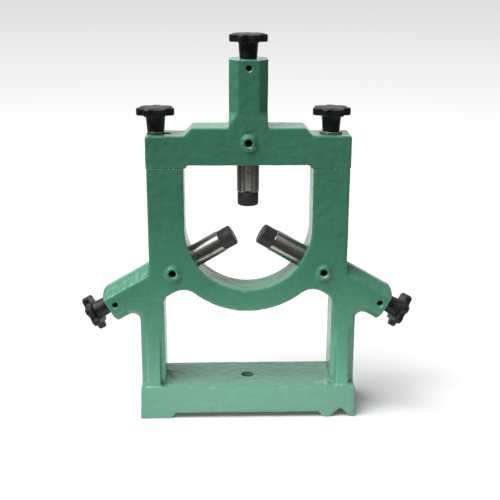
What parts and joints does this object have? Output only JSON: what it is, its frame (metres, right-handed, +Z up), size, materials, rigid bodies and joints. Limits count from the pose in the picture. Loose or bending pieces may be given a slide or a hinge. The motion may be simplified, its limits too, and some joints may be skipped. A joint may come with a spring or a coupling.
{
  "type": "lathe steady rest",
  "caption": "Green cast steady rest for a lathe: open ring on a base with a flat foot and a V foot, a removable bridge, and sliding round jaws driven by black star knobs",
  "frame": {"origin": "middle of the base's underside, at the level of the feet", "axes": "+Z up, +Y along the work axis from front to back, +X towards the V foot"},
  "size_m": [0.5416, 0.104, 0.6187],
  "materials": {
    "green_casting": "semi-gloss green paint over rough cast iron",
    "ground_steel": "ground steel with light stains",
    "bright_steel": "plain machined steel",
    "dark_steel": "black oxide",
    "dark_tip": "matt dark wear metal",
    "black_plastic": "moulded black plastic with a slight sheen"
  },
  "bodies": {
    "frame": {"base_frame": "green_casting", "left_key_screw": "dark_steel", "left_retaining_screw": "dark_steel", "right_key_screw": "dark_steel", "right_retaining_screw": "dark_steel"},
    "bridge": {"top_bridge": "green_casting", "top_key_screw": "dark_steel", "top_retaining_screw": "dark_steel", "clamp_left_washer": "bright_steel", "clamp_right_washer": "bright_steel"},
    "top_spindle": {"top_screw": "bright_steel", "top_knob": "black_plastic", "top_knob_insert": "bright_steel"},
    "top_jaw": {"top_quill": "ground_steel", "top_tip": "dark_tip"},
    "left_spindle": {"left_screw": "bright_steel", "left_knob": "black_plastic", "left_knob_insert": "bright_steel"},
    "left_jaw": {"left_quill": "ground_steel", "left_tip": "dark_tip"},
    "right_spindle": {"right_screw": "bright_steel", "right_knob": "black_plastic", "right_knob_insert": "bright_steel"},
    "right_jaw": {"right_quill": "ground_steel", "right_tip": "dark_tip"},
    "clamp_left_screw": {"clamp_left_stud": "bright_steel"},
    "clamp_left_handle": {"clamp_left_knob": "black_plastic", "clamp_left_insert": "bright_steel"},
    "clamp_right_screw": {"clamp_right_stud": "bright_steel"},
    "clamp_right_handle": {"clamp_right_knob": "black_plastic", "clamp_right_insert": "bright_steel"}
  },
  "joints": [
    {"name": "bridge_lift", "type": "slide", "parent": "frame", "child": "bridge", "axis": [0, 0, 1], "range_m": [0, 0.06]},
    {"name": "top_knob_turn", "type": "hinge", "parent": "bridge", "child": "top_spindle", "pos_m": [0, 0, 0.315], "axis": [0, 0, 1], "range_deg": [-2025.1, 5760.1]},
    {"name": "top_jaw_slide", "type": "slide", "parent": "bridge", "child": "top_jaw", "axis": [0, 0, 1], "range_m": [-0.0225, 0.064]},
    {"name": "left_knob_turn", "type": "hinge", "parent": "frame", "child": "left_spindle", "pos_m": [0, 0, 0.315], "axis": [-0.866, 0, -0.5], "range_deg": [-1215.1, 6570.1]},
    {"name": "left_jaw_slide", "type": "slide", "parent": "frame", "child": "left_jaw", "axis": [-0.866, 0, -0.5], "range_m": [-0.0135, 0.073]},
    {"name": "right_knob_turn", "type": "hinge", "parent": "frame", "child": "right_spindle", "pos_m": [0, 0, 0.315], "axis": [0.866, 0, -0.5], "range_deg": [-900.1, 6885.1]},
    {"name": "right_jaw_slide", "type": "slide", "parent": "frame", "child": "right_jaw", "axis": [0.866, 0, -0.5], "range_m": [-0.01, 0.0765]},
    {"name": "clamp_left_rise", "type": "slide", "parent": "bridge", "child": "clamp_left_screw", "axis": [0, 0, 1], "range_m": [0, 0.028]},
    {"name": "clamp_left_turn", "type": "hinge", "parent": "clamp_left_screw", "child": "clamp_left_handle", "pos_m": [-0.1435, 0, 0.465], "axis": [0, 0, 1], "range_deg": [-0.1, 5760.1]},
    {"name": "clamp_right_rise", "type": "slide", "parent": "bridge", "child": "clamp_right_screw", "axis": [0, 0, 1], "range_m": [0, 0.028]},
    {"name": "clamp_right_turn", "type": "hinge", "parent": "clamp_right_screw", "child": "clamp_right_handle", "pos_m": [0.1295, 0, 0.465], "axis": [0, 0, 1], "range_deg": [-0.1, 5760.1]}
  ],
  "couplings": [
    {"joint": "top_knob_turn", "follows": "top_jaw_slide", "rad_per_m": 1570.8},
    {"joint": "left_knob_turn", "follows": "left_jaw_slide", "rad_per_m": 1570.8},
    {"joint": "right_knob_turn", "follows": "right_jaw_slide", "rad_per_m": 1570.8},
    {"joint": "clamp_left_turn", "follows": "clamp_left_rise", "rad_per_m": 3590.4},
    {"joint": "clamp_right_turn", "follows": "clamp_right_rise", "rad_per_m": 3590.4}
  ]
}
